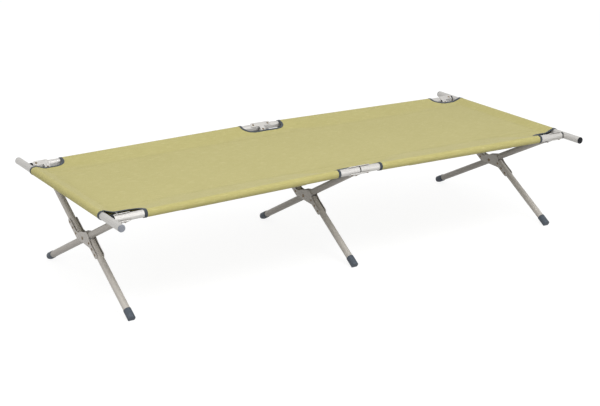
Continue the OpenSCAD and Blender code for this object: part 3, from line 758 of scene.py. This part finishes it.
def tape_section():
    """Section of the folded tape: (distance in from the cloth's edge, height off its middle)."""
    inner, outer = CLOTH / 2 + TAPE_GAP, CLOTH / 2 + TAPE_FACE
    outside = [(TAPE - 0.0004, outer - 0.0003), (TAPE - 0.0012, outer), (TAPE * 0.6, outer + 0.0001),
               (0.002, outer)]
    round_fold = (0.5, 1.1, QUARTER, math.pi - 1.1, math.pi - 0.5)
    bend = [(TAPE_FOLD - TAPE_NOSE * math.sin(a), outer * math.cos(a)) for a in round_fold]
    back = [(d, -h) for d, h in reversed(outside)]
    lining = [(TAPE, -inner), (TAPE_FOLD, -inner), (-0.0003, 0.0), (TAPE_FOLD, inner), (TAPE, inner)]
    deepest = TUBE_R + TAPE_GAP - WRAP_R      # the inner face stays just off the tubes
    return [(d, max(h, deepest)) for d, h in outside + bend + back + lining]


def tape_pieces(name, edges):
    """Binding tape along edges of the cloth: a ring of the tape's section at each of their points."""
    section = tape_section()
    size = len(section)
    verts, faces, uvs = [], [], []
    for edge, closed, side in edges:
        points = filled(edge, TAPE_STEP, closed)
        count, first, run = len(points), len(verts), 0.0
        for k, (u, v) in enumerate(points):
            in_u, in_v = inward(points, k, closed, side)
            if k:
                run += math.hypot(u - points[k - 1][0], v - points[k - 1][1])
            verts += [off_cloth(u + in_u * d, v + in_v * d, h) for d, h in section]
            uvs += [(run, d if h > 0 else -d) for d, h in section]
        for k in range(count if closed else count - 1):
            a, b = first + k * size, first + (k + 1) % count * size
            for j in range(size):
                n = (j + 1) % size
                faces.append((a + j, a + n, b + n, b + j) if side > 0 else (a + n, a + j, b + j, b + n))
        if not closed:
            for ring, flip in ((first, side > 0), (first + (count - 1) * size, side < 0)):
                caps = [(ring + j, ring + j + 1, ring + size - 2 - j, ring + size - 1 - j)
                        for j in range(size // 2 - 1)]
                faces += [cap[::-1] if flip else cap for cap in caps]
    piece = new_piece(name, verts, faces, uvs)
    bm = bmesh.new()
    bm.from_mesh(piece.data)
    bmesh.ops.recalc_face_normals(bm, faces=bm.faces)
    bm.to_mesh(piece.data)
    bm.free()
    finish_with(piece, WEBBING)
    return piece


# ---------------------------------------------------------------- stitches, made with Geometry Nodes

def stitch_tree():
    """Rows of stitches along the seam lines: one rounded stitch at every pitch, turned along its line."""
    tree = bpy.data.node_groups.new("stitch_rows", "GeometryNodeTree")
    sockets = tree.interface
    sockets.new_socket("Seam lines", in_out="INPUT", socket_type="NodeSocketGeometry")
    for label, value in (("Pitch", PITCH), ("Stitch length", STITCH), ("Thread thickness", THREAD_D)):
        socket = sockets.new_socket(label, in_out="INPUT", socket_type="NodeSocketFloat")
        socket.default_value = value
    sockets.new_socket("Thread", in_out="INPUT", socket_type="NodeSocketMaterial")
    sockets.new_socket("Stitches", in_out="OUTPUT", socket_type="NodeSocketGeometry")
    given, out = tree.nodes.new("NodeGroupInput"), tree.nodes.new("NodeGroupOutput")
    length, thick = given.outputs["Stitch length"], given.outputs["Thread thickness"]
    curve = add_node(tree, "GeometryNodeMeshToCurve", {0: given.outputs["Seam lines"]})
    spaced = add_node(tree, "GeometryNodeResampleCurve",
                      {"Curve": curve.outputs[0], "Length": given.outputs["Pitch"]}, mode="LENGTH")
    points = add_node(tree, "GeometryNodeCurveToPoints", {0: spaced.outputs[0]}, mode="EVALUATED")
    turn = add_node(tree, "FunctionNodeAlignEulerToVector", {2: points.outputs["Tangent"]}, axis="X")
    ball = add_node(tree, "GeometryNodeMeshUVSphere", {"Segments": 6, "Rings": 4, "Radius": 0.5})
    size = add_node(tree, "ShaderNodeCombineXYZ", {0: length, 1: thick, 2: thick})
    placed = add_node(tree, "GeometryNodeInstanceOnPoints",
                      {"Points": points.outputs[0], "Instance": ball.outputs[0],
                       "Rotation": turn.outputs[0], "Scale": size.outputs[0]})
    real = add_node(tree, "GeometryNodeRealizeInstances", {0: placed.outputs[0]})
    dyed = add_node(tree, "GeometryNodeSetMaterial",
                    {"Geometry": real.outputs[0], "Material": given.outputs["Thread"]})
    smoothed = add_node(tree, "GeometryNodeSetShadeSmooth", {0: dyed.outputs[0]})
    joined(tree, smoothed.outputs[0], out.inputs[0])
    return tree


STITCHES = stitch_tree()


def stitched(name, lines, thread, pitch):
    """Rows of stitches along lines on the cloth; a line is points (u, v, height off the cloth's middle)."""
    verts, edges = [], []
    for line in lines:
        first = len(verts)
        verts += [off_cloth(*point) for point in line]
        edges += [(k, k + 1) for k in range(first, len(verts) - 1)]
    mesh = bpy.data.meshes.new(name)
    mesh.from_pydata([tuple(v) for v in verts], edges, [])
    piece = linked(name, mesh)
    rows = piece.modifiers.new("rows", "NODES")
    rows.node_group = STITCHES
    values = {"Pitch": pitch, "Thread": thread}
    for item in STITCHES.interface.items_tree:
        if item.in_out == "INPUT" and item.name in values:
            rows[item.identifier] = values[item.name]
    return applied(piece)


def spread(half, count):
    """Places from -half to half in equal steps."""
    return [-half + 2 * half * k / count for k in range(count + 1)]


def seam_lines():
    """The rows of the side seams and hems, each on the upper and the lower layer."""
    top = CLOTH / 2
    lines = []
    for s in (-1, 1):
        for row in SEAM_ROWS:
            v = RAIL_Y - (SIDE_SEAM + row)
            for layer in (v, 2 * MIDDLE_V - v):
                lines.append([(u, s * layer, top) for u in spread(SIDE_ROW_HALF, count=220)])
        for row in SEAM_ROWS:
            u = BAR_X - (HEM_SEAM + row)
            for layer in (u, 2 * MIDDLE_U - u):
                lines.append([(s * layer, v, top) for v in spread(HEM_ROW_HALF, count=80)])
    return lines


def tape_lines(edges):
    """One row along each piece of tape, on both faces of the cloth."""
    lines = []
    distance = TAPE - TAPE_ROW_IN
    for height in (CLOTH / 2 + TAPE_ROW_UP, -CLOTH / 2 - TAPE_ROW_UP):
        for points, closed, side in edges:
            line = []
            for k, (u, v) in enumerate(points):
                in_u, in_v = inward(points, k, closed, side)
                line.append((u + in_u * distance, v + in_v * distance, height))
            lines.append(line + line[:1] if closed else line)
    return lines


corners, middles = bound_edges()
cover, cut_area = make_cover()
corner_tapes = tape_pieces("corner_tapes", corners)
middle_tapes = tape_pieces("middle_tapes", middles)
seam_stitches = stitched("seam_stitches", seam_lines(), THREAD, PITCH)
tape_stitches = stitched("tape_stitches", tape_lines(corners + middles), DARK_THREAD, TAPE_PITCH)
for piece in (cover, corner_tapes, middle_tapes, seam_stitches, tape_stitches):
    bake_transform(piece)
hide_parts("cover")
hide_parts("corner_bindings")
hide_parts("middle_bindings")


# ---------------------------------------------------------------- frame pieces with eased edges

SAME_POINT = 2e-6               # corners of a CAD node that are this close are one
FLAT_ANGLE = math.radians(0.5)  # faces that turn less than this are one


def eased(name, material, width=0.0005, segments=2, sharp=40):
    """Replaces a CAD node with a copy whose edges, where they turn more than sharp degrees, are rounded."""
    node = nodes[name]
    bm = bmesh.new()
    bm.from_mesh(node.data)
    bmesh.ops.remove_doubles(bm, verts=bm.verts, dist=SAME_POINT)
    bmesh.ops.dissolve_limit(bm, angle_limit=FLAT_ANGLE, verts=bm.verts, edges=bm.edges)
    mesh = bpy.data.meshes.new(name + "_eased")
    bm.to_mesh(mesh)
    bm.free()
    mesh.shade_smooth()
    piece = linked(name + "_eased", mesh)
    bevel = piece.modifiers.new("eased", "BEVEL")
    bevel.width = width
    bevel.segments = segments
    bevel.limit_method = "ANGLE"
    bevel.angle_limit = math.radians(sharp)
    bevel.harden_normals = True
    applied(piece)
    finish_with(piece, material)
    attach(piece, node["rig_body"])
    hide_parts(name)


for name in sorted(nodes):
    if name.endswith("cross_plate"):
        eased(name, PLATE_METAL)
    elif name.endswith(("bracket", "hinge_plate")):
        eased(name, BRACKET_METAL)
    elif name.endswith(("_rivets", "_pins")):
        finish_with(nodes[name], RIVET_METAL)
    elif name.endswith("_foot"):
        eased(name, RUBBER, width=0.0008, segments=3, sharp=30)
    # This plug is the same dark plastic as the others, painted grey as painted light.
    elif name == "left_bar_near_plug":
        eased(name, LIT_PLUG_PLASTIC, width=0.0012, segments=3)
    elif "_bar_" in name:
        eased(name, DARK_PLASTIC, width=0.0012, segments=3)
    elif name.endswith("_plug"):
        finish_with(nodes[name], DARK_PLASTIC)
    elif name.endswith("_straight_leg"):
        finish_with(nodes[name], STRAIGHT_METAL)
    # The split legs take the copy of the leg metal that is painted lighter against their shade.
    elif "split_leg" in name:
        finish_with(nodes[name], SPLIT_LEG_METAL_PAINTED_LIGHTER)
    elif name.endswith("_rail"):
        finish_with(nodes[name], RAIL_METAL)
    elif name.endswith("_end_bar"):
        finish_with(nodes[name], BAR_METAL)


# ---------------------------------------------------------------- floor, light and camera

FLOOR_HALF = 40                 # half the side of the floor
FLOOR_GLOW = 0.87               # how bright the floor looks by itself
FLOOR_SHOWN = (0.20, 0.20, 0.20, 1)     # its colour under that glow, which carries the shadows
FLOOR_THROWN = (0.45, 0.45, 0.45, 1)    # its colour for the light that it throws on the cot
SKY_LEVEL = 0.40                # strength of the world's light from level
SKY_ABOVE = 0.82                # and from steeper than SKY_RISE
SKY_RISE = 0.8                  # upward part of the direction where it is reached
LAMPS = (("key", (-0.4, -1.8, 3.6), 2.2, 54.0),     # name, place, size, power
         ("front", (0.8, -4.2, 1.7), 3.0, 62.0),
         ("side", (-3.6, -1.0, 1.2), 1.8, 24.0))
LAMP_AIM = Vector((0, 0, 0.3))
CAMERA_PLACE = (-2.5888, -4.0963, 1.7480)
CAMERA_TURN = -32.014           # degrees round from straight in front
CAMERA_RISE = 18.25             # degrees above level
CAMERA_LENS = 82.8              # focal length for a sensor 36 wide, both in millimetres


def aim(thing, direction):
    thing.rotation_mode = "QUATERNION"
    thing.rotation_quaternion = direction.to_track_quat("-Z", "Y")


def make_floor():
    mesh = bpy.data.meshes.new("floor")
    h = FLOOR_HALF
    mesh.from_pydata([(-h, -h, 0), (h, -h, 0), (h, h, 0), (-h, h, 0)], [], [(0, 1, 2, 3)])
    material, tree, shader = new_material("pale_floor", Roughness=0.9, Specular_IOR_Level=0.0)
    seen = seen_or_mirrored(tree)
    joined(tree, colour_mix(tree, seen, FLOOR_THROWN, FLOOR_SHOWN), shader.inputs["Base Color"])
    strength = math_node(tree, "MULTIPLY", seen, FLOOR_GLOW)
    glow = add_node(tree, "ShaderNodeEmission", {"Color": (1, 1, 1, 1), "Strength": strength})
    both = add_node(tree, "ShaderNodeAddShader", {0: shader.outputs[0], 1: glow.outputs[0]})
    joined(tree, both.outputs[0], tree.nodes["Material Output"].inputs[0])
    mesh.materials.append(material)
    linked("floor", mesh)


def make_light():
    """A world that brightens upwards and looks white itself, and three soft lamps."""
    world = bpy.data.worlds.new("studio")
    bpy.context.scene.world = world
    world.use_nodes = True
    tree = world.node_tree
    upward = add_node(tree, "ShaderNodeTexCoord").outputs["Generated"]
    height = add_node(tree, "ShaderNodeSeparateXYZ", {0: upward}).outputs[2]
    strength = map_range(tree, height, 0.0, SKY_RISE, SKY_LEVEL, SKY_ABOVE)
    background = tree.nodes["Background"]
    background.inputs["Color"].default_value = (1, 1, 1, 1)
    joined(tree, value_mix(tree, seen_or_mirrored(tree), strength, 1.0), background.inputs["Strength"])
    for name, place, size, power in LAMPS:
        data = bpy.data.lights.new(name, "AREA")
        data.shape = "DISK"
        data.size = size
        data.energy = power
        lamp = linked(name, data)
        lamp.location = place
        aim(lamp, LAMP_AIM - Vector(place))


def make_camera():
    data = bpy.data.cameras.new("camera")
    data.sensor_width = 36.0
    data.sensor_fit = "HORIZONTAL"
    data.lens = CAMERA_LENS
    data.clip_start = 0.1
    data.clip_end = 200
    camera = linked("camera", data)
    camera.location = CAMERA_PLACE
    turn, rise = math.radians(CAMERA_TURN), math.radians(CAMERA_RISE)
    back = Vector((math.sin(turn) * math.cos(rise), -math.cos(turn) * math.cos(rise), math.sin(rise)))
    aim(camera, -back)
    bpy.context.scene.camera = camera


make_floor()
make_light()
make_camera()
bpy.context.scene.view_settings.view_transform = "Standard"
